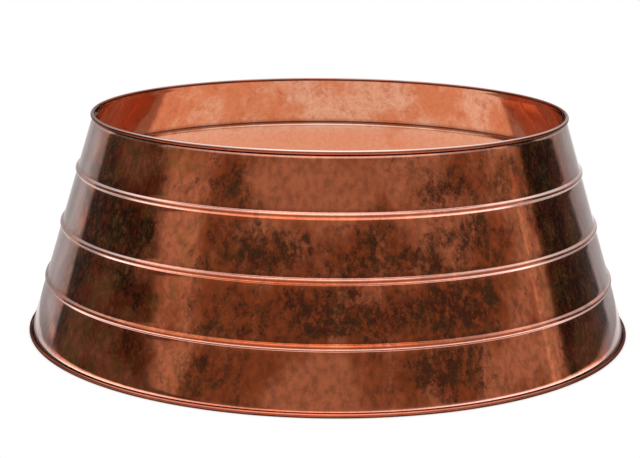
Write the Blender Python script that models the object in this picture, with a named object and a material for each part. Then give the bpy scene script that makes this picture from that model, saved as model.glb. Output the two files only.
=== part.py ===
import math

import bmesh
import bpy
import numpy as np

# A Christmas tree collar: a tapered ring of beaded sheet steel in two half shells.
# The base centre is the origin, +Z is up, and the joint line runs along X.
# The front half lies towards -Y, and the rear half pulls away towards +Y.

# Overall sizes, in metres
base_diameter = 0.7112
top_diameter = 0.557
height = 0.256

# Sheet, and the wires that its edges are curled over
sheet = 0.0008
wire_radius = 0.0012
wire_clearance = 0.0004
base_curl_proud = 0.0010
top_curl_proud = 0.0010
base_neck_height = 0.0100
top_neck_height = 0.0070
neck_pull = 0.0022

# Swaged beads round the wall
bead_height_shares = (0.258, 0.504, 0.750)
bead_half_height = 0.0041
bead_depth = 0.0022
bead_point_shares = (-1.0, -0.47, 0.0, 0.47, 1.0)

# Lap joints: the rear shell's tongues slide inside the front shell's ends
lap_half_angle = math.radians(2.0)
lap_clearance = 0.0005
joggle_start_angle = math.radians(2.12)
joggle_end_angle = math.radians(2.85)
tongue_inset = 0.0020
spigot_reach_angle = math.radians(1.0)
front_wire_stop_angle = math.radians(1.9)

# Fineness of the round forms
wall_steps = 34
wire_sides = 7
curl_step = math.radians(36)
base_free_edge_share = 0.95
top_free_edge_share = 0.8
crease_angle = math.radians(50)

# Sizes that follow from the ones above
curl_radius = wire_radius + wire_clearance + sheet
curl_line = curl_radius - sheet / 2
base_curl_z = curl_radius * math.cos(curl_step / 2)
top_curl_z = height - curl_radius
base_curl_r = base_diameter / 2 - curl_radius
top_curl_r = top_diameter / 2 - curl_radius
wall_base = np.array([base_curl_r - base_curl_proud, base_curl_z])
wall_top = np.array([top_curl_r - top_curl_proud, top_curl_z])
wall_length = np.linalg.norm(wall_top - wall_base)
wall_up = (wall_top - wall_base) / wall_length
wall_out = np.array([wall_up[1], -wall_up[0]])


def wall_point(distance, outward):
    """A point in the vertical section, measured up the wall and out from it."""
    return wall_base + wall_up * distance + wall_out * outward


def circle_point(centre, radius, angle):
    return np.array(centre) + radius * np.array([math.cos(angle), math.sin(angle)])


def bezier(start, pull_start, pull_end, end, shares):
    """Points on a cubic curve between two points, leaving its ends out."""
    points = []
    for t in shares:
        a = (1 - t) ** 3
        b = 3 * t * (1 - t) ** 2
        c = 3 * t ** 2 * (1 - t)
        points.append(a * start + b * pull_start + c * pull_end + t ** 3 * end)
    return points


def base_curl_points():
    """The base edge, from its free edge outside, down and under to the inner side."""
    centre = (base_curl_r, base_curl_z)
    facet_edge = -math.pi / 2 + curl_step / 2
    turns = [facet_edge + step * curl_step for step in (5, 4, 3, 2, 1, 0, -1, -2)]
    turns[0] = turns[1] + curl_step * base_free_edge_share
    turns.append(turns[-1] - curl_step / 2)
    return [circle_point(centre, curl_line, turn) for turn in turns]


def top_curl_points():
    """The top edge, from the neck up the inner side, over and down to its free edge."""
    centre = (top_curl_r, top_curl_z)
    turns = [math.pi / 2 - step * curl_step for step in (-3, -2, -1, 0, 1, 2, 3, 4)]
    turns.append(turns[-1] - curl_step * top_free_edge_share)
    return [circle_point(centre, curl_line, turn) for turn in turns]


def bead_points(centre):
    """One outward bead: a raised cosine across the wall."""
    points = []
    for share in bead_point_shares:
        outward = bead_depth * math.cos(share * math.pi / 2) ** 2
        points.append(wall_point(centre + share * bead_half_height, outward))
    return points


def neck_points(start, start_up, end, end_up):
    """The soft double bend between the wall and a curl, without its two ends."""
    return bezier(start, start + start_up * neck_pull, end - end_up * neck_pull, end, (1 / 3, 2 / 3))


def section_line():
    """The sheet's middle line, and which of its points belong to the plain wall."""
    base_curl = base_curl_points()
    top_curl = top_curl_points()
    lean = curl_step / 2
    curl_up = np.array([-math.sin(lean), math.cos(lean)])
    wall_start = wall_point(base_neck_height, 0)
    wall_end = wall_point(wall_length - top_neck_height, 0)
    base_neck = neck_points(base_curl[-1], curl_up, wall_start, wall_up)
    top_neck = neck_points(wall_end, wall_up, top_curl[0], curl_up)
    wall = [wall_point(base_neck_height + tongue_inset, 0)]
    for share in bead_height_shares:
        rise = (share * height - base_curl_z) / wall_up[1]
        wall += bead_points(rise)
    wall.append(wall_point(wall_length - top_neck_height - tongue_inset, 0))
    points = base_curl + base_neck + [wall_start] + wall + [wall_end] + top_neck + top_curl
    first = len(base_curl) + len(base_neck) + 1
    return np.array(points), first, first + len(wall) - 1


def section_normals(points):
    """Outward unit normals of the middle line, each the mean of its two segments'."""
    along = np.diff(points, axis=0)
    along /= np.linalg.norm(along, axis=1)[:, None]
    along = np.vstack([along[:1], along[:-1] + along[1:], along[-1:]])
    along /= np.linalg.norm(along, axis=1)[:, None]
    return np.stack([along[:, 1], -along[:, 0]], axis=1)


def main_turns(first, last):
    return [first + (last - first) * step / wall_steps for step in range(wall_steps + 1)]


def new_object(name, mesh, material, parent, place=(0, 0, 0)):
    mesh.materials.append(material)
    mesh.set_sharp_from_angle(angle=crease_angle)
    made = bpy.data.objects.new(name, mesh)
    bpy.context.scene.collection.objects.link(made)
    made.parent = parent
    made.location = place
    return made


def closed_mesh(name, vertices, faces):
    """A mesh with smooth faces, loose points dropped and normals outward."""
    build = bmesh.new()
    made = [build.verts.new(place) for place in vertices]
    for face in faces:
        build.faces.new([made[index] for index in face])
    loose = [vertex for vertex in build.verts if not vertex.link_faces]
    bmesh.ops.delete(build, geom=loose, context="VERTS")
    bmesh.ops.recalc_face_normals(build, faces=build.faces)
    for face in build.faces:
        face.smooth = True
    mesh = bpy.data.meshes.new(name)
    build.to_mesh(mesh)
    build.free()
    return mesh


def sheet_mesh(name, turns, offsets, has_curls):
    """Half a collar in sheet metal.

    Each turn gives a copy of the section, moved out along its normals by that turn's
    offset. Where has_curls is false between two turns, only the plain wall is there.
    """
    points, wall_first, wall_last = section_line()
    normals = section_normals(points)
    rows = len(points)
    columns = len(turns)
    vertices = []
    for side in (sheet / 2, -sheet / 2):
        for turn, offset in zip(turns, offsets):
            for point, normal in zip(points, normals):
                radius, level = point + normal * (side + offset)
                vertices.append((radius * math.cos(turn), radius * math.sin(turn), level))

    def corner(side, column, row):
        return (side * columns + column) * rows + row

    cells = set()
    for column in range(columns - 1):
        for row in range(rows - 1):
            if has_curls[column] or wall_first <= row < wall_last:
                cells.add((column, row))
    faces = []
    for column, row in sorted(cells):
        ring = [(column, row), (column + 1, row), (column + 1, row + 1), (column, row + 1)]
        faces.append([corner(0, *place) for place in ring])
        faces.append([corner(1, *place) for place in reversed(ring)])
        beside = [(column, row - 1), (column + 1, row), (column, row + 1), (column - 1, row)]
        for index, cell in enumerate(beside):
            if cell not in cells:
                here, there = ring[index], ring[(index + 1) % 4]
                edge = [corner(0, *there), corner(0, *here), corner(1, *here), corner(1, *there)]
                faces.append(edge)
    return closed_mesh(name, vertices, faces)


def wire_mesh(name, turns, ring_radius):
    """A bent round wire whose ring lies level round the Z axis."""
    vertices = []
    for turn in turns:
        for side in range(wire_sides):
            angle = 2 * math.pi * (side + 0.5) / wire_sides
            radius, level = circle_point((ring_radius, 0), wire_radius, angle)
            vertices.append((radius * math.cos(turn), radius * math.sin(turn), level))
    faces = []
    for ring in range(len(turns) - 1):
        for side in range(wire_sides):
            beside = (side + 1) % wire_sides
            low, high = ring * wire_sides, (ring + 1) * wire_sides
            faces.append([low + side, low + beside, high + beside, high + side])
    last = (len(turns) - 1) * wire_sides
    faces.append(list(range(wire_sides)))
    faces.append([last + side for side in reversed(range(wire_sides))])
    return closed_mesh(name, vertices, faces)


def new_material(name, colour, roughness):
    material = bpy.data.materials.new(name)
    material.use_nodes = True
    surface = material.node_tree.nodes["Principled BSDF"]
    surface.inputs["Base Color"].default_value = (*colour, 1)
    surface.inputs["Roughness"].default_value = roughness
    surface.inputs["Metallic"].default_value = 1
    return material


def front_shell(material):
    """The half towards -Y, whose ends lie outside in the laps."""
    turns = [-math.pi - lap_half_angle, -math.pi, -math.pi + lap_half_angle]
    turns += main_turns(-math.pi + joggle_end_angle, -joggle_end_angle)
    turns += [-lap_half_angle, 0, lap_half_angle]
    offsets = [0] * len(turns)
    has_curls = [True] * len(turns)
    mesh = sheet_mesh("front_shell", turns, offsets, has_curls)
    return new_object("front_shell", mesh, material, None)


def rear_shell(material, parent):
    """The half towards +Y, with a tongue at each end stepped in behind the front shell."""
    step_in = -(sheet + lap_clearance)
    tongue = [-lap_half_angle, 0, joggle_start_angle]
    turns = tongue + main_turns(joggle_end_angle, math.pi - joggle_end_angle)
    turns += [math.pi - turn for turn in reversed(tongue)]
    offsets = [0] * len(turns)
    has_curls = [True] * len(turns)
    for index in range(len(tongue)):
        offsets[index] = offsets[-1 - index] = step_in
        has_curls[index] = has_curls[-2 - index] = False
    mesh = sheet_mesh("rear_shell", turns, offsets, has_curls)
    return new_object("rear_shell", mesh, material, parent)


def edge_wires(half, front, material, parent):
    """The wires in a half's two curled edges; the rear ones reach into the front curls."""
    if front:
        turns = [-math.pi + front_wire_stop_angle]
        turns += main_turns(-math.pi + joggle_end_angle, -joggle_end_angle)
        turns += [-front_wire_stop_angle]
    else:
        spigot = [-spigot_reach_angle, 0, lap_half_angle]
        turns = spigot + main_turns(joggle_end_angle, math.pi - joggle_end_angle)
        turns += [math.pi - turn for turn in reversed(spigot)]
    for edge, radius, level in (("top", top_curl_r, top_curl_z), ("base", base_curl_r, base_curl_z)):
        name = f"{half}_{edge}_wire"
        mesh = wire_mesh(name, turns, radius)
        new_object(name, mesh, material, parent, (0, 0, level))


def build():
    for old in list(bpy.data.objects):
        bpy.data.objects.remove(old)
    copper = new_material("front_copper_finish", (0.42, 0.20, 0.12), 0.38)
    copper_rear = new_material("rear_copper_finish", (0.42, 0.20, 0.12), 0.38)
    steel = new_material("front_wire_steel", (0.42, 0.40, 0.38), 0.35)
    steel_rear = new_material("rear_wire_steel", (0.42, 0.40, 0.38), 0.35)
    front = front_shell(copper)
    slider = bpy.data.objects.new("rear_half", None)
    bpy.context.scene.collection.objects.link(slider)
    rear = rear_shell(copper_rear, slider)
    edge_wires("front", True, steel, front)
    edge_wires("rear", False, steel_rear, rear)


build()
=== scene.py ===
import math

import bpy
import numpy as np
from mathutils import Matrix, Vector


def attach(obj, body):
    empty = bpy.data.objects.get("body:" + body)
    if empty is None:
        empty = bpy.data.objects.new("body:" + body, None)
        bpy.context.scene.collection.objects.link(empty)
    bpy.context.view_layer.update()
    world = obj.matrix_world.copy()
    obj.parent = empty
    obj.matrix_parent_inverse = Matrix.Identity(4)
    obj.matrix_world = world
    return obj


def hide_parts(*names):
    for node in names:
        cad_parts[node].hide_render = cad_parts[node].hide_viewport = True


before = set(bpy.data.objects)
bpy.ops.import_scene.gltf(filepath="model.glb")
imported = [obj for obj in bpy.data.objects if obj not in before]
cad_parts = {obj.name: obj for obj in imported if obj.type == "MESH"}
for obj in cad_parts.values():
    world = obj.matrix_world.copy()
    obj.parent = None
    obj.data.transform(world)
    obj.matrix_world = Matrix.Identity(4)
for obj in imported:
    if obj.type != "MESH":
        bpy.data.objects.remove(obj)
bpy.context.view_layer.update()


# The collar's section, in metres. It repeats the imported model's sizes.

collar = {
    "baseDiameter": 0.7112,      # over the rolled base rim
    "topDiameter": 0.557,        # over the rolled top rim
    "height": 0.256,
    "sheet": 0.0008,             # thickness of the sheet
    "wireRadius": 0.0012,
    "wireClearance": 0.0004,
    "curlProud": 0.0010,         # each curl's centre, out from the wall's line
    "baseNeck": 0.0100,          # height of the soft bend beside each curl
    "topNeck": 0.0070,
    "neckPull": 0.0022,
    "wallPull": 0.0065,          # the wall runs this far straight towards the base curl
    "curlLean": math.radians(18),
    "beadShares": (0.258, 0.504, 0.750),
    "beadHalf": 0.0041,
    "beadDepth": 0.0024,
    "beadFlat": 1.3,             # above 1 the bead's crest is flatter than a cosine
    "lapHalf": math.radians(2.0),
    "lapClearance": 0.0005,
    "joggleStart": math.radians(2.12),
    "joggleEnd": math.radians(2.85),
    "tongueInset": 0.0020,
    "spigotReach": math.radians(1.0),
    "frontWireStop": math.radians(1.9),
    "baseCurlTurns": (math.radians(106.2), math.radians(-162)),
    "topCurlTurns": (math.radians(198), math.radians(-83)),
    "curlPoints": 34,            # points along each curl, neck, bead and plain stretch
    "baseNeckPoints": 12,
    "topNeckPoints": 9,
    "beadPoints": 27,
    "plainPoints": 13,
    "wallStep": math.radians(1.2),    # turn between columns, and the finer ones at the laps
    "lapStep": math.radians(0.4),
    "joggleStep": math.radians(0.12),
    "wireSides": 20,
    "sharpAngle": math.radians(40),
}

curlRadius = collar["wireRadius"] + collar["wireClearance"] + collar["sheet"]
curlLine = curlRadius - collar["sheet"] / 2
baseCurl = np.array([collar["baseDiameter"] / 2 - curlRadius,
                     curlRadius * math.cos(collar["curlLean"])])
topCurl = np.array([collar["topDiameter"] / 2 - curlRadius, collar["height"] - curlRadius])
wallBase = baseCurl - [collar["curlProud"], 0]
wallTop = topCurl - [collar["curlProud"], 0]
wallLength = float(np.linalg.norm(wallTop - wallBase))
wallUp = (wallTop - wallBase) / wallLength
wallOut = np.array([wallUp[1], -wallUp[0]])


def arcPoints(centre, turnStart, turnEnd, count):
    # points on a circle: centre + radius * (cos, sin) of evenly spaced turns
    turns = np.linspace(turnStart, turnEnd, count)
    return centre + curlLine * np.stack([np.cos(turns), np.sin(turns)], axis=1)


def bezierPoints(a, b, c, d, count):
    # a cubic curve from a to d, pulled towards b and c, without its two ends
    t = np.linspace(0, 1, count + 2)[1:-1, None]
    return a * (1 - t) ** 3 + 3 * b * t * (1 - t) ** 2 + 3 * c * t ** 2 * (1 - t) + d * t ** 3


def wallPoints(rise, outward):
    # points measured up the wall's slant and out from it
    return wallBase + np.outer(rise, wallUp) + np.outer(outward, wallOut)


def sectionLine():
    # the sheet's middle line from the base curl's free edge to the top curl's free edge,
    # its painted light marks, its rim mask, and the first and last rows of plain wall
    low = arcPoints(baseCurl, *collar["baseCurlTurns"], collar["curlPoints"])
    high = arcPoints(topCurl, *collar["topCurlTurns"], collar["curlPoints"])
    curlUp = np.array([-math.sin(collar["curlLean"]), math.cos(collar["curlLean"])])
    first, last = collar["baseNeck"], wallLength - collar["topNeck"]
    start, end = wallPoints([first, last], [0, 0])
    pull = collar["neckPull"]
    baseNeck = bezierPoints(low[-1], low[-1] + curlUp * pull, start - wallUp * collar["wallPull"],
                            start, collar["baseNeckPoints"])
    topNeck = bezierPoints(end, end + wallUp * pull, high[0] - curlUp * pull, high[0],
                           collar["topNeckPoints"])
    plain = np.linspace(0, 1, collar["plainPoints"])
    across = np.linspace(-1, 1, collar["beadPoints"])
    crest = np.cos(np.abs(across) ** collar["beadFlat"] * math.pi / 2) ** 2
    rises = [np.linspace(first, first + collar["tongueInset"], 2)]
    outs = [np.zeros(2)]
    for share in collar["beadShares"]:
        centre = (share * collar["height"] - baseCurl[1]) / wallUp[1]
        gap = centre - collar["beadHalf"] - rises[-1][-1]
        rises.append(rises[-1][-1] + gap * plain[1:-1])
        outs.append(np.zeros(len(plain) - 2))
        rises.append(centre + across * collar["beadHalf"])
        outs.append(collar["beadDepth"] * crest)
    stretch = last - collar["tongueInset"] - rises[-1][-1]
    rises.append(rises[-1][-1] + stretch * plain[1:])
    outs.append(np.zeros(len(plain) - 1))
    rises.append(np.array([last]))
    outs.append(np.zeros(1))
    rise = np.concatenate(rises)
    out = np.concatenate(outs)
    points = np.vstack([low, baseNeck, wallPoints(rise, out), topNeck, high])
    begin = len(low) + len(baseNeck)
    marks = paintedLightMarks(points, rise, out, begin, len(low))
    rim = np.zeros(len(points))
    rim[:len(low)] = 1
    rim[-len(high):] = 1
    return points, marks, rim, begin + 1, begin + len(rise) - 2


def bump(value, centre, spread):
    # exp(-((value - centre) / spread)^2)
    return np.exp(-((value - centre) / spread) ** 2)


def ringBump(turns, degrees, spread):
    # a bump at this place on the ring, by the degrees to it from -180 to 180
    return bump((np.degrees(turns) - degrees + 180) % 360 - 180, 0, spread)


# Where light and shade are painted on the sheet: pale marks are painted highlights, warm marks
# painted warm reflections and dark marks painted shade; the last rows say where the stains are
# olive. A row of three without a comment of its own is an amount, a place and a spread.

marking = {
    "beadFlank": 0.9,            # power of the painted highlights on the beads' flanks: below 1 they are wider
    "beadDimmed": (0.6, 0.28, 0),     # how much weaker each bead's painted highlight on its upper flank is
    "beadTop": 1.2,              # how far up that reaches
    "beadGlows": (0, 1, 1),      # for each bead: 1 turns its lower flank's painted highlight warm at the front, 0 its upper
    # on each bead, in half widths above its crest
    "crestWarm": (0.9, 0, 0.22),
    "underWarm": (0.7, -1.30, 0.30),
    "overDark": (0.5, 1.05, 0.14),
    "upperGlow": (1, 0.55, 0.25),
    "grooveDark": (1, 0.35, 0.75),
    "grooveGlow": (1, -0.75, 0.26),
    # on the necks, by height in metres
    "baseNeckPale": (1, 0.0052, 0.0017),
    "baseNeckGlow": 0.85,
    "topNeckPale": (0.6, 0.2489, 0.0007),
    "topNeckDark": (1, 0.2512, 0.0011),
    # on the curls, by the curl's own turn in degrees
    "baseCurlPale": (0.3, 48, 16),
    "baseCurlGroove": (0.65, 110, 24),
    "baseCurlUnder": (0.6, -70, 40),
    "baseCurlWarm": (1, 40, 45),
    "topCurlPale": (1, 72, 40),
    "topCurlGroove": (1, -80, 24),
    "topCurlInside": (0.7, 160, 22),
    "topCurlWarm": (1, 0, 32),
    "topCurlSides": (1, 2, 29),
    # on the inside wall, by height in metres
    "insideWarm": (0.186, 0.01),      # height below which the inside gets a warm painted light, and the blend
    "insidePatinaAndLight": (0.189, 0.003, -1.1, 0.1),   # height, blend, and patina below and above: thin patina below paints the lower inside lighter
    # round the ring, in degrees: where the flanks' painted highlights turn warm (front) and where
    # the inside's groove edges get theirs (back), and their spreads
    "front": (-95, 26),
    "back": (95, 22),
    "frontWarm": 0.65,           # how strong a glowing flank's warm painted reflection is
    "wallFading": 0.75,          # share of a bead's painted marks lost at the sides
    "fadeFrom": (0.85, 0.10),    # |cos turn| where the loss begins, and the blend
    "sidePowers": (2.5, 6),      # how narrow the painted shade on the base rim's right and left sides is
    "baseRimSides": 0.8,         # how strong that painted shade is
    "sideWarmLoss": 0.75,        # share of the inside's and the rims' warm painted light lost at the sides
    "oliveBase": 0.5,            # how olive the stains are, and where they are more so
    "olive": ((0.35, -137, 20), (0.4, -32, 10)),
}


def marked(key, value):
    # a bump by one of the rows above
    amount, centre, spread = marking[key]
    return amount * bump(value, centre, spread)


def paintedLightMarks(points, rise, out, begin, curlCount):
    # shares of painted highlight (pale), painted warm reflection (warm) and painted shade (dark)
    # along the section, of where a painted highlight turns warm at the front or brighter at the
    # back, and of where the painted marks fade or darken at the sides: row 0 is the sheet's outer
    # side, row 1 its inner side, which is also the side that the rolled rims show
    pale, warm, dark, glow, fading = np.zeros((5, 2, len(points)))
    wall = slice(begin, begin + len(rise))
    fading[0, wall] = marking["wallFading"]
    swell = out / collar["beadDepth"]
    # painted highlights on the beads' flanks
    pale[0, wall] = (4 * swell * (1 - swell)) ** marking["beadFlank"]
    beads = zip(collar["beadShares"], marking["beadDimmed"], marking["beadGlows"])
    for share, dimmed, glowing in beads:
        above = (rise - (share * collar["height"] - baseCurl[1]) / wallUp[1]) / collar["beadHalf"]
        pale[0, wall] *= 1 - dimmed * (above > 0) * (above < marking["beadTop"])
        # a painted warm reflection on each crest and below it, and painted shade just above it
        warm[0, wall] += marked("crestWarm", above) + marked("underWarm", above)
        dark[0, wall] += marked("overDark", above)
        glow[0, wall] += glowing * pale[0, wall] * (above > -1) * (above < 0)
        glow[0, wall] += (1 - glowing) * marked("upperGlow", above)
        # inside: painted shade and a painted highlight at the groove's edges
        dark[1, wall] += marked("grooveDark", above)
        glow[1, wall] += marked("grooveGlow", above)
    level = points[:, 1]
    # inside: a warm painted light low on the wall
    warmBelow, blend = marking["insideWarm"]
    warm[1, wall] = np.clip((warmBelow - level[wall]) / blend, 0, 1)
    # necks: painted highlights, and painted shade just under the top curl
    neck = slice(curlCount, begin)
    pale[0, neck] = marked("baseNeckPale", level[neck])
    glow[0, neck] = marking["baseNeckGlow"] * pale[0, neck]
    neck = slice(begin + len(rise), -curlCount)
    pale[0, neck] = marked("topNeckPale", level[neck])
    dark[0, neck] = marked("topNeckDark", level[neck])
    # curls: painted highlights on top, painted shade in the grooves, underneath and inside the top
    # curl, a warm painted reflection on the faces, and painted shade at the top curl's sides
    low = np.degrees(np.linspace(*collar["baseCurlTurns"], curlCount))
    pale[1, :curlCount] = marked("baseCurlPale", low)
    dark[1, :curlCount] = marked("baseCurlGroove", low) + marked("baseCurlUnder", low)
    warm[1, :curlCount] = marked("baseCurlWarm", low)
    high = np.degrees(np.linspace(*collar["topCurlTurns"], curlCount))
    inside = np.minimum(high, marking["topCurlInside"][1])
    pale[1, -curlCount:] = marked("topCurlPale", high)
    dark[1, -curlCount:] = marked("topCurlGroove", high) + marked("topCurlInside", inside)
    warm[1, -curlCount:] = marked("topCurlWarm", high)
    fading[1, -curlCount:] = marked("topCurlSides", high)
    return pale, warm, dark, glow, fading


def roundMarks(marks, turns, baseRim):
    # the painted light marks turned round the ring: glowing flanks get a warm painted reflection
    # instead of a pale painted highlight at the front, the beads' painted marks fade at the sides,
    # the inside's groove edges get a painted highlight only at the back, and the inside and the
    # rims get painted shade and lose painted warmth at the sides
    pale, warm, dark, glow, fading = [mark[:, None, :] for mark in marks]
    aside = np.abs(np.cos(turns))[:, None]
    front = ringBump(turns, *marking["front"])[:, None]
    back = ringBump(turns, *marking["back"])[:, None]
    side = aside ** np.where(np.cos(turns) > 0, *marking["sidePowers"])[:, None]
    fadeStart, blend = marking["fadeFrom"]
    # the beads' painted marks weaken towards the sides
    sideKept = 1 - fading[0] * np.clip((aside - fadeStart) / blend, 0, 1)
    # painted shade on the rims at the sides
    rims = marking["baseRimSides"] * side * baseRim + fading[1] * aside
    shares = {
        "pale": ((pale[0] - glow[0] * front) * sideKept, pale[1] + glow[1] * back),
        "warm": ((warm[0] + marking["frontWarm"] * glow[0] * front) * sideKept,
                 warm[1] * (1 - marking["sideWarmLoss"] * aside)),
        "dark": (np.broadcast_to(dark[0], rims.shape), dark[1] + rims)}
    return {key: np.clip(np.stack(rows), 0, 1) for key, rows in shares.items()}


def sectionNormals(points):
    # outward unit normals, each at right angles to the mean of its two segments
    along = np.diff(points, axis=0)
    along /= np.linalg.norm(along, axis=1)[:, None]
    along = np.vstack([along[:1], along[:-1] + along[1:], along[-1:]])
    along /= np.linalg.norm(along, axis=1)[:, None]
    return np.stack([along[:, 1], -along[:, 0]], axis=1)


def newPiece(name, places, faces, materials, faceSlots, values):
    # an object with a material for each face, a value for each point of each given mark
    # (patina, olive and painted light), and smooth shading that keeps its sharp edges
    mesh = bpy.data.meshes.new(name)
    mesh.from_pydata(places.tolist(), [], faces)
    for key, data in values.items():
        layer = mesh.attributes.new(key, "FLOAT", "POINT")
        layer.data.foreach_set("value", data.astype(np.float32))
    for material in materials:
        mesh.materials.append(material)
    mesh.polygons.foreach_set("material_index", faceSlots.astype(np.int32))
    mesh.polygons.foreach_set("use_smooth", np.ones(len(faces), dtype=bool))
    mesh.set_sharp_from_angle(angle=collar["sharpAngle"])
    mesh.update()
    piece = bpy.data.objects.new(name, mesh)
    bpy.context.scene.collection.objects.link(piece)
    return piece


def sheetPiece(name, turns, offsets, hasCurls, materials):
    # the section is turned round Z: place = (r cos turn, r sin turn, z), with r and z
    # moved along the section's normal by half the sheet and the turn's own offset;
    # cells with no curl keep only the plain wall, and open cell edges get a strip
    points, marks, rim, wallFirst, wallLast = sectionLine()
    normals = sectionNormals(points)
    rows, columns = len(points), len(turns)
    half = collar["sheet"] / 2
    moves = np.stack([offsets + half, offsets - half])
    radius = points[:, 0] + moves[:, :, None] * normals[:, 0]
    level = points[:, 1] + moves[:, :, None] * normals[:, 1]
    level = np.maximum(level, 0)
    x = radius * np.cos(turns)[None, :, None]
    y = radius * np.sin(turns)[None, :, None]
    places = np.stack([x, y, level], axis=-1).reshape(-1, 3)
    index = np.arange(2 * columns * rows).reshape(2, columns, rows)
    row = np.arange(rows - 1)
    cells = hasCurls[:, None] | ((row >= wallFirst) & (row < wallLast))[None, :]
    corners = np.stack([index[:, :-1, :-1], index[:, 1:, :-1],
                        index[:, 1:, 1:], index[:, :-1, 1:]], axis=-1)
    outer = corners[0][cells]
    inner = corners[1][cells][:, ::-1]
    padded = np.pad(cells, 1)
    beside = [padded[1:-1, :-2], padded[2:, 1:-1], padded[1:-1, 2:], padded[:-2, 1:-1]]
    strips = []
    for side, neighbour in enumerate(beside):
        edge = cells & ~neighbour
        a, b = side, (side + 1) % 4
        strips.append(np.stack([corners[0][edge][:, b], corners[0][edge][:, a],
                                corners[1][edge][:, a], corners[1][edge][:, b]], axis=-1))
    strips = np.vstack(strips)
    quads = np.vstack([outer, inner, strips])
    rolled = (rim[:-1] * rim[1:] > 0)[np.nonzero(cells)[1]]
    outerSlot, innerSlot, edgeSlot, rimSlot = range(len(materials))
    faceSlots = np.concatenate([np.where(rolled, rimSlot, outerSlot),
                                np.where(rolled, rimSlot, innerSlot),
                                np.full(len(strips), edgeSlot)])
    used = np.unique(quads)
    lookup = np.zeros(len(places), dtype=int)
    lookup[used] = np.arange(len(used))
    patinaAndLight = patinaLevel(turns[None, :, None], level)
    # inside, the patina value is set by height instead, thin below: a painted light that makes the
    # lower inside lighter
    lighterBelow, blend, below, beyond = marking["insidePatinaAndLight"]
    patinaAndLight[1] = np.clip((level[1] - lighterBelow) / blend, below, beyond)
    olive = marking["oliveBase"]
    for amount, degrees, spread in marking["olive"]:
        olive = olive + amount * ringBump(turns, degrees, spread)
    olive = np.broadcast_to(olive[None, :, None], level.shape)
    values = {"patinaAndLight": patinaAndLight.reshape(-1)[used], "olive": olive.reshape(-1)[used]}
    # the painted highlight, painted warm reflection and painted shade marks, turned round the ring
    baseRim = rim * (points[:, 1] < collar["height"] / 2)
    for key, shares in roundMarks(marks, turns, baseRim).items():
        values[key] = shares.reshape(-1)[used]
    piece = newPiece(name, places[used], lookup[quads].tolist(), materials, faceSlots, values)
    return piece


def wirePiece(name, turns, centre, material):
    # a circle of points carried round Z at the ring's radius, closed by two end caps
    sides = collar["wireSides"]
    around = np.linspace(0, 2 * math.pi, sides, endpoint=False)
    radius = centre[0] + collar["wireRadius"] * np.cos(around)
    level = centre[1] + collar["wireRadius"] * np.sin(around)
    x = np.outer(np.cos(turns), radius)
    y = np.outer(np.sin(turns), radius)
    places = np.stack([x, y, np.broadcast_to(level, x.shape)], axis=-1).reshape(-1, 3)
    caps = np.array([[centre[0] * math.cos(t), centre[0] * math.sin(t), centre[1]]
                     for t in (turns[0], turns[-1])])
    index = np.arange(len(turns) * sides).reshape(len(turns), sides)
    beside = np.roll(index, -1, axis=1)
    quads = np.stack([index[:-1], beside[:-1], beside[1:], index[1:]], axis=-1).reshape(-1, 4)
    start = np.stack([beside[0], index[0], np.full(sides, len(places))], axis=-1)
    end = np.stack([index[-1], beside[-1], np.full(sides, len(places) + 1)], axis=-1)
    faces = quads.tolist() + start.tolist() + end.tolist()
    piece = newPiece(name, np.vstack([places, caps]), faces, [material], np.zeros(len(faces)), {})
    return piece


# Patches of the outer patina, listed: turn in degrees, height in metres, the spreads
# of both, and how much darker (or with a minus lighter) the copper is there

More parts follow.
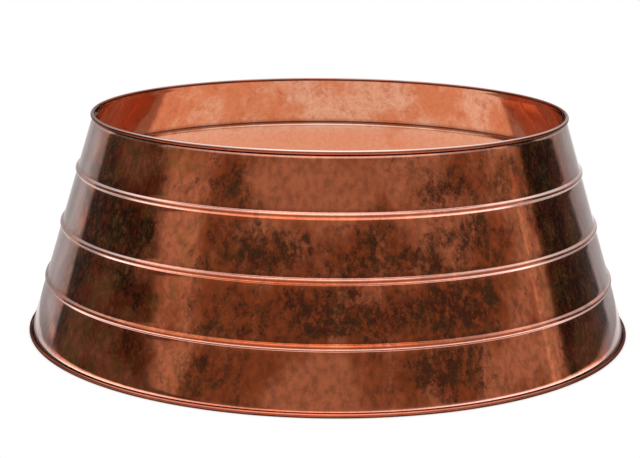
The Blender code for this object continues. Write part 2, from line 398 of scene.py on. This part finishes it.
patches = (
    (-108, 0.225, 7, 0.030, 0.8), (-91, 0.225, 8, 0.034, -2.2), (-76, 0.228, 8, 0.030, -0.5),
    (-63, 0.218, 13, 0.020, 0.8), (-46, 0.225, 5, 0.030, 0.3), (-104, 0.165, 9, 0.028, 0.6),
    (-80, 0.160, 10, 0.028, 0.5), (-59, 0.160, 8, 0.026, 0.8), (-45, 0.160, 3, 0.030, -0.3),
    (-107, 0.097, 6, 0.026, 0.4), (-88, 0.097, 14, 0.026, 1.0), (-62, 0.100, 8, 0.026, 1.9),
    (-49, 0.095, 6, 0.026, -0.4), (-106, 0.033, 7, 0.026, 0.7), (-90, 0.030, 8, 0.030, -2.1),
    (-66, 0.036, 8, 0.028, 1.3), (-51, 0.030, 7, 0.028, -0.9), (-143, 0.130, 12, 0.400, 0.9),
    (-32, 0.130, 10, 0.400, 0.5), (-137, 0.035, 10, 0.030, -1.3), (-136, 0.225, 9, 0.030, -1.0),
    (-132, 0.095, 8, 0.026, -0.3), (-120, 0.130, 7, 0.400, -0.3), (-149, 0.200, 4, 0.030, 1.3),
    (-138, 0.170, 6, 0.020, 1.5), (-146, 0.105, 3, 0.035, 1.5), (-131, 0.158, 4, 0.020, 1.6),
    (-130, 0.105, 3, 0.020, 1.2), (-148, 0.040, 3, 0.020, 1.3), (-153, 0.228, 3, 0.020, -0.9),
    (-139, 0.095, 3, 0.020, -1.0), (-143, 0.060, 8, 0.012, -1.0), (-150, 0.145, 2, 0.016, -0.8),
    (-35, 0.225, 5, 0.030, 1.6), (-33, 0.160, 3, 0.030, 1.2), (-28, 0.160, 2, 0.020, -0.9),
    (-31, 0.097, 5, 0.030, 1.1), (-27, 0.080, 2, 0.015, -1.0), (-37, 0.048, 3, 0.014, 1.0),
    (-30, 0.030, 7, 0.020, -1.6), (-84, 0.160, 22, 0.030, 0.35), (-74, 0.097, 20, 0.030, 0.35),
    (-126, 0.158, 3, 0.020, 1.3), (-125, 0.100, 3, 0.016, 1.3), (-127, 0.212, 2, 0.012, 0.9),
    (-125, 0.045, 4, 0.020, 0.9), (-134, 0.100, 4, 0.030, -0.7), (-134, 0.030, 5, 0.020, -0.4),
    (-62, 0.160, 8, 0.020, -0.3), (-34, 0.030, 3, 0.025, -0.5), (-96, 0.150, 4, 0.014, 0.9),
    (-70, 0.150, 4, 0.014, 0.6), (-149, 0.030, 3, 0.014, -0.9), (-141, 0.020, 5, 0.010, -0.6),
    (-136, 0.052, 3, 0.010, 0.9), (-98, 0.222, 5, 0.030, -0.4),
)


def patinaLevel(turn, level):
    # each patch adds amount * exp(-(turn gap / spread)^2 - (height gap / spread)^2)
    total = np.zeros(np.broadcast(turn, level).shape)
    for degrees, height, wide, tall, amount in patches:
        total += amount * ringBump(turn, degrees, wide) * bump(level, height, tall)
    return total


# Node helpers. Each one after link gives back its node's output.

def addNode(tree, kind, place, **settings):
    # settings name the node's sockets or its own properties
    node = tree.nodes.new(kind)
    node.location = place
    for key, value in settings.items():
        if key in node.inputs:
            node.inputs[key].default_value = value
        else:
            setattr(node, key, value)
    return node


def link(tree, source, target):
    tree.links.new(source, target)


def feed(tree, values, sockets):
    # numbers and colours are set, and the outputs of other nodes are linked
    for value, socket in zip(values, sockets):
        if isinstance(value, (int, float, tuple)):
            socket.default_value = value
        else:
            link(tree, value, socket)


def addMath(tree, place, operation, *values, **settings):
    node = addNode(tree, "ShaderNodeMath", place, operation=operation, **settings)
    feed(tree, values, node.inputs)
    return node.outputs["Value"]


def addRange(tree, place, source, span, reach=(0.0, 1.0), kind="SMOOTHSTEP"):
    # carries the source from the span to the reach and keeps it there
    node = addNode(tree, "ShaderNodeMapRange", place, interpolation_type=kind)
    sockets = [node.inputs[key] for key in ("Value", "From Min", "From Max", "To Min", "To Max")]
    feed(tree, (source, *span, *reach), sockets)
    return node.outputs["Result"]


def addMix(tree, place, factor, a, b):
    node = addNode(tree, "ShaderNodeMix", place, data_type="RGBA")
    feed(tree, (factor, a, b), [node.inputs[key] for key in ("Factor", "A", "B")])
    return node.outputs["Result"]


def addFade(tree, place, factor, a, b):
    # one shader fading into another
    node = addNode(tree, "ShaderNodeMixShader", place)
    feed(tree, (factor, a, b), node.inputs)
    return node.outputs["Shader"]


def addRamp(tree, place, source, stops):
    # grey levels at positions from 0 to 1
    node = addNode(tree, "ShaderNodeValToRGB", place)
    elements = node.color_ramp.elements
    elements.remove(elements[-1])
    for number, (position, level) in enumerate(stops):
        stop = elements[0] if number == 0 else elements.new(position)
        stop.position = position
        stop.color = (level, level, level, 1)
    link(tree, source, node.inputs["Fac"])
    return node.outputs["Color"]


# Finishes. Pairs of colours are the two ends that clouds, hues or the view mix between:
# copper is the metal and stains lie on it. pale is a painted highlight, warm a painted warm
# reflection, dark painted shade, and glance a painted reflection where the sheet turns away
# from the view. The row of three strengths says how strongly the pale, warm and dark painted
# marks are laid on.

bareCopper = (0.7, 0.5, 0.42, 1)
bareSteel = (0.6, 0.58, 0.56, 1)
finish = {
    "outer": {
        "stains": ((0.070, 0.017, 0.008, 1), (0.050, 0.035, 0.012, 1)),
        "copper": ((0.43, 0.082, 0.022, 1), (0.77, 0.205, 0.088, 1)),
        "gold": (0.50, 0.19, 0.05, 1),
        "pale": ((0.92, 0.55, 0.46, 1), (0.96, 0.80, 0.75, 1)),
        "warm": (0.74, 0.16, 0.06, 1), "dark": (0.06, 0.014, 0.008, 1), "paintedWeights": (0.85, 0.85, 0.8),
        "glance": ((0.25, 0.18, 0.165, 1), (0.38, 0.295, 0.275, 1)), "glanceRange": (0.56, 0.77),
        "matte": 0.16, "seed": 3.1, "upright": 0.7, "cloud": 13.0, "smudge": 0.9,
        "grain": 0.52, "patinaAndLight": 0.13, "roughness": (0.035, 0.09),
        "coat": 0.10, "coatRoughness": 0.03, "tint": (1.0, 0.90, 0.885, 1)},
    "inner": {
        "stains": ((0.66, 0.16, 0.065, 1), (0.62, 0.19, 0.07, 1)),
        "copper": ((0.86, 0.28, 0.125, 1), (1.0, 0.50, 0.31, 1)),
        "pale": ((1.0, 0.80, 0.70, 1), (1.0, 0.80, 0.70, 1)),
        "warm": (0.97, 0.27, 0.12, 1), "dark": (0.085, 0.022, 0.012, 1), "paintedWeights": (0.7, 0.42, 0.92),
        "glance": ((0.77, 0.44, 0.26, 1), (0.84, 0.52, 0.33, 1)), "glanceRange": (0.48, 0.86),
        "matte": 0.0, "seed": 8.4, "upright": 1.0, "cloud": 15.0, "smudge": 0.75,
        "grain": 0.3, "patinaAndLight": 0.10, "roughness": (0.06, 0.12),
        "coat": 0.10, "coatRoughness": 0.04, "tint": (1.0, 1.0, 1.0, 1)},
    "rim": {
        "stains": ((0.14, 0.026, 0.012, 1), (0.18, 0.040, 0.015, 1)),
        "copper": ((0.32, 0.070, 0.032, 1), (0.48, 0.12, 0.055, 1)),
        "pale": ((0.93, 0.76, 0.70, 1), (0.93, 0.76, 0.70, 1)),
        "warm": (0.62, 0.12, 0.045, 1), "dark": (0.06, 0.016, 0.011, 1), "paintedWeights": (0.95, 0.7, 0.9),
        "glance": (bareCopper, bareCopper), "glanceRange": (0.9, 1.0),
        "matte": 0.0, "seed": 6.2, "upright": 0.8, "cloud": 26.0, "smudge": 0.5,
        "grain": 0.3, "patinaAndLight": 0.0, "roughness": (0.08, 0.16),
        "coat": 0.10, "coatRoughness": 0.05, "tint": (0.40, 0.34, 0.32, 1)},
    "edge": {
        "stains": ((0.20, 0.08, 0.05, 1), (0.20, 0.10, 0.05, 1)),
        "copper": ((0.45, 0.22, 0.15, 1), bareCopper),
        "pale": (bareCopper, bareCopper), "warm": bareCopper, "dark": bareCopper,
        "paintedWeights": (0.0, 0.0, 0.0),
        "glance": (bareCopper, bareCopper), "glanceRange": (0.9, 1.0),
        "matte": 0.0, "seed": 1.7, "upright": 1.0, "cloud": 60.0, "smudge": 0.5,
        "grain": 0.5, "patinaAndLight": 0.0, "roughness": (0.3, 0.5),
        "coat": 0.2, "coatRoughness": 0.2, "tint": (0.40, 0.34, 0.32, 1)},
    "wire": {
        "stains": ((0.08, 0.07, 0.065, 1), (0.08, 0.075, 0.06, 1)),
        "copper": ((0.20, 0.19, 0.18, 1), (0.32, 0.31, 0.30, 1)),
        "pale": (bareSteel, bareSteel), "warm": bareSteel, "dark": bareSteel,
        "paintedWeights": (0.0, 0.0, 0.0),
        "glance": (bareSteel, bareSteel), "glanceRange": (0.9, 1.0),
        "matte": 0.0, "seed": 5.5, "upright": 1.0, "cloud": 90.0, "smudge": 0.4,
        "grain": 0.4, "patinaAndLight": 0.0, "roughness": (0.25, 0.45),
        "coat": 0.0, "coatRoughness": 0.2, "tint": (1.0, 1.0, 1.0, 1)},
}

# What all the finishes share

sharedFinish = {
    "coatIndex": 1.42,
    "facing": 0.5,               # blend of the facing value, which rises as metal turns away
    "paleRange": (0.30, 0.60),   # facing values between which the painted highlight (pale) changes colour
    "goldRange": (0.5, 0.85),    # hues between which gold appears, and its full share
    "goldShare": 0.8,
    "dent": 0.10,                # strength and depth of the soft unevenness
    "dentDepth": 0.002,
}

# The noises of the mottling: scale over the finish's cloud size, detail, roughness,
# distortion, and the levels between which each one steps

noises = {
    "Cloud": (1.0, 6.0, 0.62, 0.15, (0.41, 0.60)),
    "Smudge": (3.4, 10.0, 0.8, 0.15, (0.48, 0.65)),
    "Gap": (9.0, 6.0, 0.75, 0.0, (0.36, 0.55)),
    "Hue": (3.0, 6.0, 0.65, 0.0, (0.42, 0.56)),
    "Grain": (12.0, 5.0, 0.8, 0.0, (0.38, 0.66)),
    "Speck": (24.0, 3.0, 0.7, 0.0, (0.46, 0.62)),
    "Height": (2.2, 1.0, 0.4, 0.0, None),
}


def mottleGroup():
    # broad clouds, crowds of small smudges with gaps, hues, a fine grain, specks and a soft
    # unevenness, all from noise on the object's own coordinates; the patina value, which on the
    # inside also carries a painted lighter lower wall, widens the smudges and thins the clouds
    group = bpy.data.node_groups.new("copperMottle", "ShaderNodeTree")
    face = group.interface
    face.new_socket("Vector", in_out="INPUT", socket_type="NodeSocketVector")
    for key in ("Size", "Seed", "PatinaAndLight"):
        face.new_socket(key, in_out="INPUT", socket_type="NodeSocketFloat")
    for key in noises:
        if key != "Gap":
            face.new_socket(key, in_out="OUTPUT", socket_type="NodeSocketFloat")
    get = addNode(group, "NodeGroupInput", (-1100, 0))
    put = addNode(group, "NodeGroupOutput", (900, 0))
    seed = addNode(group, "ShaderNodeCombineXYZ", (-900, -200))
    link(group, get.outputs["Seed"], seed.inputs["X"])
    link(group, get.outputs["Seed"], seed.inputs["Z"])
    moved = addNode(group, "ShaderNodeVectorMath", (-700, 0), operation="ADD")
    link(group, get.outputs["Vector"], moved.inputs[0])
    link(group, seed.outputs["Vector"], moved.inputs[1])
    shiftedNoises = {"Cloud": "SUBTRACT", "Smudge": "ADD"}
    made = {}
    for number, (key, (scale, detail, roughness, distortion, steps)) in enumerate(noises.items()):
        y = 600 - 200 * number
        size = addMath(group, (-500, y), "MULTIPLY", get.outputs["Size"], scale)
        node = addNode(group, "ShaderNodeTexNoise", (-300, y), Detail=detail,
                       Roughness=roughness, Distortion=distortion)
        link(group, moved.outputs["Vector"], node.inputs["Vector"])
        link(group, size, node.inputs["Scale"])
        made[key] = node.outputs["Fac"]
        if key in shiftedNoises:
            made[key] = addMath(group, (-150, y), shiftedNoises[key], made[key], get.outputs["PatinaAndLight"])
        if steps:
            made[key] = addRange(group, (0, y), made[key], steps)
    made["Smudge"] = addMath(group, (200, 400), "MULTIPLY", made["Smudge"], made.pop("Gap"))
    for key, source in made.items():
        link(group, source, put.inputs[key])
    return group


def copperMaterial(name, group, look):
    # from the base up: clouded copper, gold, smudges and grain of the stains, the painted highlight
    # (pale), painted warm reflection (warm) and painted shade (dark) marks that the sheet carries
    # as attributes, and the glance colour, a painted reflection where the sheet turns away from the
    # view
    material = bpy.data.materials.new(name)
    material.use_nodes = True
    tree = material.node_tree
    surface = tree.nodes["Principled BSDF"]
    surface.location = (450, 0)
    tree.nodes["Material Output"].location = (750, 0)
    for key, value in (("Coat Weight", look["coat"]), ("Coat Roughness", look["coatRoughness"]),
                       ("Coat IOR", sharedFinish["coatIndex"]), ("Specular Tint", look["tint"])):
        surface.inputs[key].default_value = value

    def sheetMark(x, y, key):
        return addNode(tree, "ShaderNodeAttribute", (x, y), attribute_name=key).outputs["Fac"]

    coordinates = addNode(tree, "ShaderNodeTexCoord", (-1300, 0))
    stretch = addNode(tree, "ShaderNodeMapping", (-1100, 0), Scale=(1, 1, look["upright"]))
    link(tree, coordinates.outputs["Object"], stretch.inputs["Vector"])
    mottle = addNode(tree, "ShaderNodeGroup", (-900, 0), node_tree=group)
    patinaAndLight = sheetMark(-1300, -250, "patinaAndLight")
    patinaAndLight = addMath(tree, (-1100, -250), "MULTIPLY", patinaAndLight, look["patinaAndLight"])
    feed(tree, (stretch.outputs["Vector"], look["cloud"], look["seed"], patinaAndLight), mottle.inputs)
    cloud, smudges, hue, grain, speck, height = mottle.outputs

    copper = addMix(tree, (-650, 250), cloud, *look["copper"])
    hue = addMath(tree, (-850, -350), "MULTIPLY", hue, sheetMark(-1100, -500, "olive"))
    stains = addMix(tree, (-650, 0), hue, *look["stains"])
    if "gold" in look:
        golden = addRange(tree, (-700, 600), hue, sharedFinish["goldRange"],
                          (0.0, sharedFinish["goldShare"]), "LINEAR")
        copper = addMix(tree, (-500, 600), golden, copper, look["gold"])
    smudge = addMath(tree, (-700, -200), "MULTIPLY", smudges, look["smudge"])
    colour = addMix(tree, (-450, 200), smudge, copper, stains)
    fine = addMath(tree, (-600, -400), "MULTIPLY", grain, look["grain"])
    colour = addMix(tree, (-300, 150), fine, colour, stains)

    facing = addNode(tree, "ShaderNodeLayerWeight", (-900, 450), Blend=sharedFinish["facing"])
    facing = facing.outputs["Facing"]
    # the painted highlight's colour changes as the sheet turns away from the view
    turned = addRange(tree, (-700, 450), facing, sharedFinish["paleRange"])
    shades = (("pale", addMix(tree, (-500, 450), turned, *look["pale"])),
              ("warm", look["warm"]), ("dark", look["dark"]))
    # each mark lays its painted highlight, painted warm reflection or painted shade over the colour
    plain = 1.0
    for number, ((key, shade), weight) in enumerate(zip(shades, look["paintedWeights"])):
        x, y = 150 * number, -550 - 200 * number
        mark = sheetMark(-600, y, key)
        share = addMath(tree, (-400, y), "MULTIPLY", mark, weight)
        colour = addMix(tree, (x - 150, 100), share, colour, shade)
        plain = addMath(tree, (x - 200, 650), "SUBTRACT", plain, mark, use_clamp=True)
    # glance: a painted reflection that greys the sheet as it turns away from the view, where no
    # mark lies
    glance = addRange(tree, (0, 450), facing, look["glanceRange"])
    glance = addMath(tree, (200, 450), "MULTIPLY", glance, plain)
    glanceSheen = addMix(tree, (150, 800), cloud, *look["glance"])
    link(tree, addMix(tree, (300, 250), glance, colour, glanceSheen), surface.inputs["Base Color"])

    metal = addRange(tree, (-400, -250), speck, (0.0, 1.0), (1.0, 1.0 - look["matte"]), "LINEAR")
    link(tree, metal, surface.inputs["Metallic"])
    rough = addRange(tree, (-400, -500), grain, (0.0, 1.0), look["roughness"], "LINEAR")
    link(tree, rough, surface.inputs["Roughness"])
    dent = addNode(tree, "ShaderNodeBump", (-200, -500), Strength=sharedFinish["dent"],
                   Distance=sharedFinish["dentDepth"])
    link(tree, height, dent.inputs["Height"])
    link(tree, dent.outputs["Normal"], surface.inputs["Normal"])
    return material


mottle = mottleGroup()
outerCopper = copperMaterial("outerCopper", mottle, finish["outer"])
innerCopper = copperMaterial("innerCopper", mottle, finish["inner"])
cutEdge = copperMaterial("cutEdge", mottle, finish["edge"])
wireSteel = copperMaterial("wireSteel", mottle, finish["wire"])
rimCopper = copperMaterial("rimCopper", mottle, finish["rim"])
print("collar: finishes ready")


# The two halves

def ringTurns(start, end, step):
    # evenly spaced turns, about a step apart
    count = max(2, int(round((end - start) / step)) + 1)
    return np.linspace(start, end, count)


lap, joggle, joggled = collar["lapHalf"], collar["joggleStart"], collar["joggleEnd"]
frontTurns = np.concatenate([
    ringTurns(-math.pi - lap, -math.pi + joggled, collar["lapStep"]),
    ringTurns(-math.pi + joggled, -joggled, collar["wallStep"])[1:-1],
    ringTurns(-joggled, lap, collar["lapStep"])])
materials = [outerCopper, innerCopper, cutEdge, rimCopper]
frontShell = sheetPiece("frontShell", frontTurns, np.zeros(len(frontTurns)),
                        np.ones(len(frontTurns) - 1, dtype=bool), materials)
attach(frontShell, "front_half")
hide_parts("front_shell")

# the rear half's ends step in behind the front sheet, each over a smooth ramp
rearEnd = np.concatenate([ringTurns(-lap, joggle, collar["lapStep"]),
                          ringTurns(joggle, joggled, collar["joggleStep"])[1:]])
rearTurns = np.concatenate([
    rearEnd, ringTurns(joggled, math.pi - joggled, collar["wallStep"])[1:-1],
    math.pi - rearEnd[::-1]])
stepIn = collar["sheet"] + collar["lapClearance"]
fromEnd = np.minimum(rearTurns, math.pi - rearTurns)
ramp = np.clip((fromEnd - joggle) / (joggled - joggle), 0, 1)
rearOffsets = -stepIn * (1 - ramp * ramp * (3 - 2 * ramp))
middle = (fromEnd[1:] + fromEnd[:-1]) / 2
rearShell = sheetPiece("rearShell", rearTurns, rearOffsets, middle > joggled, materials)
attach(rearShell, "rear_half")
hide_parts("rear_shell")

stop, reach = collar["frontWireStop"], collar["spigotReach"]
frontSpan = ringTurns(-math.pi + stop, -stop, collar["wallStep"])
rearSpan = ringTurns(-reach, math.pi + reach, collar["wallStep"])
for label, centre in (("top", topCurl), ("base", baseCurl)):
    frontWire = wirePiece(label + "WireFront", frontSpan, centre, wireSteel)
    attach(frontWire, "front_half")
    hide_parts("front_" + label + "_wire")
    rearWire = wirePiece(label + "WireRear", rearSpan, centre, wireSteel)
    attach(rearWire, "rear_half")
    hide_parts("rear_" + label + "_wire")
print("collar: shells and wires made")


# Floor, light and camera

studio = {
    "floorRadius": 0.95,
    "floorSides": 96,
    "floorFade": (0.42, 0.62),   # distances between which the floor fades out
    "floorColour": (0.50, 0.50, 0.50, 1),
    "floorLift": 0.62,           # extra white that only the camera sees
    # extra white that reflections see: metres from the middle, and level
    "floorShine": (
        (0, 0.40), (0.08, 0.40), (0.12, 0.42), (0.22, 0.50), (0.345, 0.52), (0.352, 0.05),
        (0.366, 0.0), (0.374, 0.6), (0.398, 0.6), (0.410, 0.05), (0.56, 0.05)),
    # a second ring of it at the front, which the beads' lower flanks show
    "frontShine": (
        (0, 0), (0.362, 0), (0.372, 1.0), (0.400, 1.0), (0.406, 1.2), (0.470, 1.2), (0.490, 0)),
    "shineAlong": (0.04, 1, 0),  # direction to the back, in which the next two measure
    "shineEnd": (0.283, 0.296),  # where the shine drops to the level behind
    "shineBehind": 0.15,
    "frontEnd": (-0.08, -0.17),  # where the front ring begins and is full
    # brightness round the horizon as reflections see it: degrees from +X, and level
    "horizon": (
        (-180, 0.55), (-145, 0.55), (-143.5, 0.46), (-90, 0.44), (-40, 0.46), (0, 0.50),
        (1.5, 0.9), (3.2, 0.60), (8.5, 0.50), (10.5, 0.10), (41.5, 0.10), (43, 0.58),
        (66, 0.62), (70, 1.0), (83, 1.0), (87, 0.78), (104, 0.72), (108, 0.60), (122, 0.56),
        (128, 0.72), (143, 0.85), (144.5, 0.155), (180, 0.155)),
    "table": (-15, -11, 1.0),    # rises between which the table ends, and its level
    "lean": (1.09, 46, 14, 34),  # slant of the backdrop's right edge, and the turns it acts within
    "darkEdge": (-168.5, 14, 2.5, 6, 0.155),   # left dark panel: turn and rise, slant, blur, level
    "overhead": (29, 44, 1.25),  # rises where the overhead panel begins and is full, and its level
    "lamp": (66, 74, 2.2),       # the same for its bright core
    "plainLight": (1, 1, 1, 1),
}

camera = {
    "distance": 1.8232, "height": 0.5334, "focalPixels": 1563.6, "imageWidth": 640,
    "pitch": math.radians(13.043), "yaw": math.radians(-0.315), "roll": math.radians(0.506),
    "orbit": math.radians(2.5),  # turn of the view round the collar, and of the panels with it
}


def floorMaterial():
    # a grey floor that fades out, looks nearly white to the camera, and shines in
    # two rings to reflections
    material = bpy.data.materials.new("paleFloor")
    material.use_nodes = True
    tree = material.node_tree
    tree.nodes.clear()
    out = addNode(tree, "ShaderNodeOutputMaterial", (900, 0))
    diffuse = addNode(tree, "ShaderNodeBsdfDiffuse", (0, 0), Color=studio["floorColour"])
    path = addNode(tree, "ShaderNodeLightPath", (-400, -200))
    coordinates = addNode(tree, "ShaderNodeTexCoord", (-400, 300))
    away = addNode(tree, "ShaderNodeVectorMath", (-200, 300), operation="LENGTH")
    link(tree, coordinates.outputs["Object"], away.inputs[0])
    away = away.outputs["Value"]
    along = addNode(tree, "ShaderNodeVectorMath", (-200, 800), operation="DOT_PRODUCT")
    link(tree, coordinates.outputs["Object"], along.inputs[0])
    along.inputs[1].default_value = studio["shineAlong"]
    along = along.outputs["Value"]
    shine = addRamp(tree, (0, 550), away, studio["floorShine"])
    ended = addRange(tree, (0, 800), along, studio["shineEnd"], (1.0, studio["shineBehind"]))
    shine = addMath(tree, (200, 800), "MULTIPLY", shine, ended)
    ring = addRamp(tree, (0, 1050), away, studio["frontShine"])
    front = addRange(tree, (0, 1300), along, studio["frontEnd"])
    shine = addMath(tree, (300, 1050), "MULTIPLY_ADD", ring, front, shine)
    lift = addMath(tree, (0, -200), "MULTIPLY", path.outputs["Is Camera Ray"], studio["floorLift"])
    white = addMath(tree, (300, 550), "MULTIPLY_ADD", path.outputs["Is Glossy Ray"], shine, lift)
    glow = addNode(tree, "ShaderNodeEmission", (400, -200))
    link(tree, white, glow.inputs["Strength"])
    both = addNode(tree, "ShaderNodeAddShader", (400, 0))
    feed(tree, (diffuse.outputs["BSDF"], glow.outputs["Emission"]), both.inputs)
    clear = addNode(tree, "ShaderNodeBsdfTransparent", (400, -150))
    fade = addRange(tree, (0, 300), away, studio["floorFade"])
    faded = addFade(tree, (650, 0), fade, both.outputs["Shader"], clear.outputs["BSDF"])
    link(tree, faded, out.inputs["Surface"])
    return material


def makeFloor():
    turns = np.linspace(0, 2 * math.pi, studio["floorSides"], endpoint=False)
    radius = studio["floorRadius"]
    places = np.stack([radius * np.cos(turns), radius * np.sin(turns), 0 * turns], axis=1)
    mesh = bpy.data.meshes.new("studioFloor")
    mesh.from_pydata(places.tolist(), [], [list(range(len(turns)))])
    floor = bpy.data.objects.new("studioFloor", mesh)
    bpy.context.scene.collection.objects.link(floor)
    mesh.materials.append(floorMaterial())


def makeWorld():
    # a white background, in whose place metal sees a ring of grey and dark panels with a
    # softbox overhead; all other light is plain
    world = bpy.data.worlds.new("studioWorld")
    bpy.context.scene.world = world
    world.use_nodes = True
    tree = world.node_tree
    tree.nodes.clear()
    out = addNode(tree, "ShaderNodeOutputWorld", (1400, 0))
    coordinates = addNode(tree, "ShaderNodeTexCoord", (-1300, 0))
    turned = addNode(tree, "ShaderNodeVectorRotate", (-1100, 0), rotation_type="Z_AXIS",
                     Angle=-camera["orbit"])
    link(tree, coordinates.outputs["Generated"], turned.inputs["Vector"])
    split = addNode(tree, "ShaderNodeSeparateXYZ", (-900, 0))
    link(tree, turned.outputs["Vector"], split.inputs["Vector"])
    turn = addMath(tree, (-700, 150), "ARCTAN2", split.outputs["Y"], split.outputs["X"])
    rise = addMath(tree, (-700, -150), "ARCSINE", split.outputs["Z"])

    # the horizon's ramp, its turns moved by the rise where the backdrop's edge leans
    slant, middle, full, gone = studio["lean"]
    gap = addMath(tree, (-700, 300), "SUBTRACT", turn, math.radians(middle))
    gap = addMath(tree, (-550, 300), "ABSOLUTE", gap)
    near = addRange(tree, (-400, 300), gap, (math.radians(gone), math.radians(full)), kind="LINEAR")
    slanted = addMath(tree, (-550, 0), "MULTIPLY", rise, slant)
    shift = addMath(tree, (-250, 200), "MULTIPLY", near, slanted)
    share = addRange(tree, (50, 100), addMath(tree, (-100, 100), "ADD", turn, shift),
                     (-math.pi, math.pi), kind="LINEAR")
    stops = [((degrees + 180) / 360, level) for degrees, level in studio["horizon"]]
    horizon = addRamp(tree, (250, 100), share, stops)

    # the dark panel at the left, whose edge leans too
    edge, atRise, slope, blur, dark = studio["darkEdge"]
    beyond = addMath(tree, (-250, -350), "ADD", turn,
                     addMath(tree, (-400, -350), "MULTIPLY", rise, slope))
    lit = addRange(tree, (-50, -350), beyond, (math.radians(edge + slope * atRise - blur),
                                               math.radians(edge + slope * atRise + blur)))
    sides = addMix(tree, (550, 250), lit, (dark, dark, dark, 1), horizon)

    # the table below and the softbox above
    lowest, highest, table = studio["table"]
    standing = addRange(tree, (400, -550), rise, (math.radians(lowest), math.radians(highest)))
    level = addMix(tree, (600, -300), standing, (table, table, table, 1), sides)
    begins, fills, plainLevel = studio["overhead"]
    above = addRange(tree, (250, -150), rise, (math.radians(begins), math.radians(fills)))
    begins, fills, brightLevel = studio["lamp"]
    core = addRange(tree, (400, -350), rise, (math.radians(begins), math.radians(fills)),
                    (plainLevel, brightLevel))
    level = addMix(tree, (700, 50), above, level, core)

    panels = addNode(tree, "ShaderNodeBackground", (850, 100))
    link(tree, level, panels.inputs["Color"])
    plain = addNode(tree, "ShaderNodeBackground", (850, 250), Color=studio["plainLight"])
    white = addNode(tree, "ShaderNodeBackground", (850, -100), Color=(1, 1, 1, 1))
    path = addNode(tree, "ShaderNodeLightPath", (850, 550))
    seen = addFade(tree, (1050, 150), path.outputs["Is Glossy Ray"],
                   plain.outputs["Background"], panels.outputs["Background"])
    straight = addMath(tree, (1050, 350), "MAXIMUM", path.outputs["Is Camera Ray"],
                       path.outputs["Is Transmission Ray"])
    seen = addFade(tree, (1200, 0), straight, seen, white.outputs["Background"])
    link(tree, seen, out.inputs["Surface"])


def makeCamera():
    data = bpy.data.cameras.new("photoCamera")
    data.lens = data.sensor_width * camera["focalPixels"] / camera["imageWidth"]
    viewer = bpy.data.objects.new("photoCamera", data)
    bpy.context.scene.collection.objects.link(viewer)
    pitch, yaw, roll = camera["pitch"], camera["yaw"], camera["roll"]
    ahead = Vector((math.sin(yaw) * math.cos(pitch), math.cos(yaw) * math.cos(pitch),
                    -math.sin(pitch)))
    right = Vector((math.cos(yaw), -math.sin(yaw), 0))
    up = right.cross(ahead)
    across = right * math.cos(roll) + up * math.sin(roll)
    upright = up * math.cos(roll) - right * math.sin(roll)
    pose = Matrix((across, upright, -ahead)).transposed().to_4x4()
    pose.translation = (0, -camera["distance"], camera["height"])
    viewer.matrix_world = Matrix.Rotation(camera["orbit"], 4, "Z") @ pose
    bpy.context.scene.camera = viewer


makeFloor()
makeWorld()
makeCamera()
bpy.context.scene.view_settings.view_transform = "Standard"
print("collar: floor, light and camera placed")
